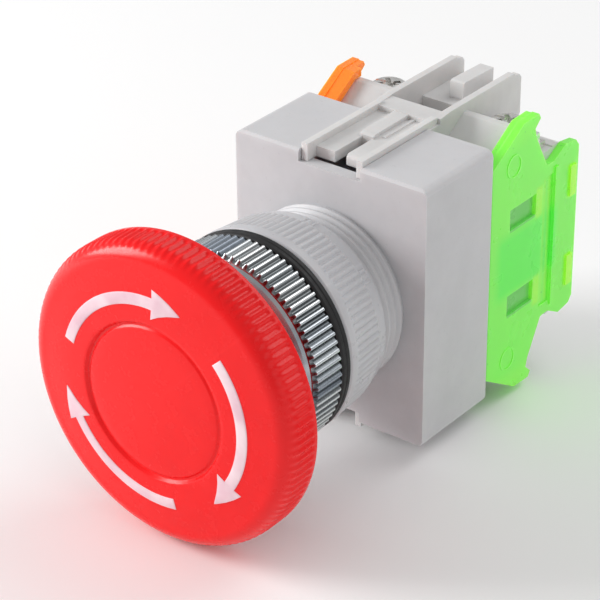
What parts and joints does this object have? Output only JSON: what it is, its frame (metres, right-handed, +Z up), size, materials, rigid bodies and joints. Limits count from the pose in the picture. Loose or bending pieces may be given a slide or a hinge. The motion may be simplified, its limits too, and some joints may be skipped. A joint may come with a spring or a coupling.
{
  "type": "emergency stop button",
  "caption": "Panel-mounted emergency stop button with a twist-release mushroom head, lock nut, base housing and a contact block with normally closed and normally open contacts.",
  "frame": {"origin": "centre of the panel hole on the panel's front plane, which is the gasket's rear face", "axes": "+Y along the button's axis into the panel, so the mushroom head points to -Y; +Z up; +X to the operator's right"},
  "size_m": [0.0414, 0.0724, 0.0414],
  "materials": {
    "red_cap": "smooth moulded, satin gloss",
    "arrow_print": "painted, slightly worn",
    "bezel_chrome": "plated, knurled",
    "seal_rubber": "matte",
    "gasket_rubber": "matte",
    "nut_plastic": "moulded, satin",
    "barrel_plastic": "moulded, satin",
    "natural_plastic": "moulded, satin",
    "plated_steel": "zinc plated",
    "spring_steel": "drawn wire",
    "blue_plastic": "moulded, satin",
    "housing_plastic": "moulded, fine satin",
    "block_plastic": "moulded, fine satin",
    "orange_cover": "translucent, glossy",
    "green_cover": "translucent, glossy",
    "carrier_plastic": "moulded, satin",
    "bridge_copper": "rolled strip",
    "contact_silver": "silver alloy, satin",
    "terminal_tin": "stamped strip, tin plated",
    "screw_nickel": "nickel plated"
  },
  "bodies": {
    "base": {"operator_barrel": "barrel_plastic", "bezel_ring": "bezel_chrome", "stem_seal": "seal_rubber", "panel_gasket": "gasket_rubber", "latch_ring": "natural_plastic", "barrel_clip": "plated_steel", "return_spring": "spring_steel", "pawl_spring_left": "spring_steel", "pawl_spring_right": "spring_steel", "base_housing": "housing_plastic", "contact_block": "block_plastic", "nc_cover": "orange_cover", "no_cover": "green_cover", "nc_terminals": "terminal_tin", "no_terminals": "terminal_tin", "fixed_tips": "contact_silver", "nc_return_spring": "spring_steel", "no_return_spring": "spring_steel"},
    "pusher": {"pusher": "blue_plastic", "twist_spring": "spring_steel"},
    "head": {"mushroom_cap": "red_cap", "cap_arrows": "arrow_print", "twist_stem": "natural_plastic", "stem_clip": "plated_steel"},
    "nut": {"lock_nut": "nut_plastic"},
    "pawl_left": {"latch_pawl_left": "plated_steel"},
    "pawl_right": {"latch_pawl_right": "plated_steel"},
    "nc_carrier": {"nc_carrier": "carrier_plastic", "nc_contact_spring": "spring_steel"},
    "no_carrier": {"no_carrier": "carrier_plastic", "no_contact_spring": "spring_steel"},
    "nc_bridge": {"nc_bridge": "bridge_copper", "nc_bridge_tips": "contact_silver"},
    "no_bridge": {"no_bridge": "bridge_copper", "no_bridge_tips": "contact_silver"},
    "screw_nc_top": {"terminal_screw_nc_top": "screw_nickel", "clamp_washer_nc_top": "screw_nickel", "split_washer_nc_top": "spring_steel"},
    "screw_nc_bottom": {"terminal_screw_nc_bottom": "screw_nickel", "clamp_washer_nc_bottom": "screw_nickel", "split_washer_nc_bottom": "spring_steel"},
    "screw_no_top": {"terminal_screw_no_top": "screw_nickel", "clamp_washer_no_top": "screw_nickel", "split_washer_no_top": "spring_steel"},
    "screw_no_bottom": {"terminal_screw_no_bottom": "screw_nickel", "clamp_washer_no_bottom": "screw_nickel", "split_washer_no_bottom": "spring_steel"}
  },
  "joints": [
    {"name": "press_slide", "type": "slide", "parent": "base", "child": "pusher", "axis": [0, 1, 0], "range_m": [0, 0.0055], "stiffness_N_per_m": 1500, "springref_m": -0.001, "deforming": ["return_spring"]},
    {"name": "twist_release", "type": "hinge", "parent": "pusher", "child": "head", "pos_m": [0, 0, 0], "axis": [0, 1, 0], "range_deg": [0, 45], "stiffness_Nm_per_rad": 0.04, "springref_deg": -11.46},
    {"name": "nut_slide", "type": "slide", "parent": "base", "child": "nut", "axis": [0, 1, 0], "range_m": [0, 0.005]},
    {"name": "pawl_left_slide", "type": "slide", "parent": "base", "child": "pawl_left", "axis": [-1, 0, 0], "range_m": [0, 0.0007], "deforming": ["pawl_spring_left"]},
    {"name": "pawl_right_slide", "type": "slide", "parent": "base", "child": "pawl_right", "axis": [1, 0, 0], "range_m": [0, 0.0007], "deforming": ["pawl_spring_right"]},
    {"name": "nc_carrier_slide", "type": "slide", "parent": "base", "child": "nc_carrier", "axis": [0, 1, 0], "range_m": [0, 0.0055], "deforming": ["nc_return_spring"]},
    {"name": "no_carrier_slide", "type": "slide", "parent": "base", "child": "no_carrier", "axis": [0, 1, 0], "range_m": [0, 0.0055], "deforming": ["no_return_spring"]},
    {"name": "nc_bridge_slide", "type": "slide", "parent": "nc_carrier", "child": "nc_bridge", "axis": [0, 1, 0], "range_m": [-0.0012, 0], "deforming": ["nc_contact_spring"]},
    {"name": "no_bridge_slide", "type": "slide", "parent": "no_carrier", "child": "no_bridge", "axis": [0, 1, 0], "range_m": [-0.0012, 0], "deforming": ["no_contact_spring"]},
    {"name": "screw_nc_top_slide", "type": "slide", "parent": "base", "child": "screw_nc_top", "axis": [0, 0, 1], "range_m": [0, 0.0025]},
    {"name": "screw_nc_bottom_slide", "type": "slide", "parent": "base", "child": "screw_nc_bottom", "axis": [0, 0, -1], "range_m": [0, 0.0025]},
    {"name": "screw_no_top_slide", "type": "slide", "parent": "base", "child": "screw_no_top", "axis": [0, 0, 1], "range_m": [0, 0.0025]},
    {"name": "screw_no_bottom_slide", "type": "slide", "parent": "base", "child": "screw_no_bottom", "axis": [0, 0, -1], "range_m": [0, 0.0025]}
  ],
  "couplings": [
    {"joint": "nc_carrier_slide", "follows": "press_slide", "ratio": 1},
    {"joint": "no_carrier_slide", "follows": "press_slide", "ratio": 1},
    {"joint": "nc_bridge_slide", "follows": "press_slide", "ratio": -0.21818},
    {"joint": "no_bridge_slide", "follows": "press_slide", "ratio": -0.21818},
    {"joint": "pawl_left_slide", "follows": "twist_release", "m_per_rad": 0.000891},
    {"joint": "pawl_right_slide", "follows": "twist_release", "m_per_rad": 0.000891}
  ]
}
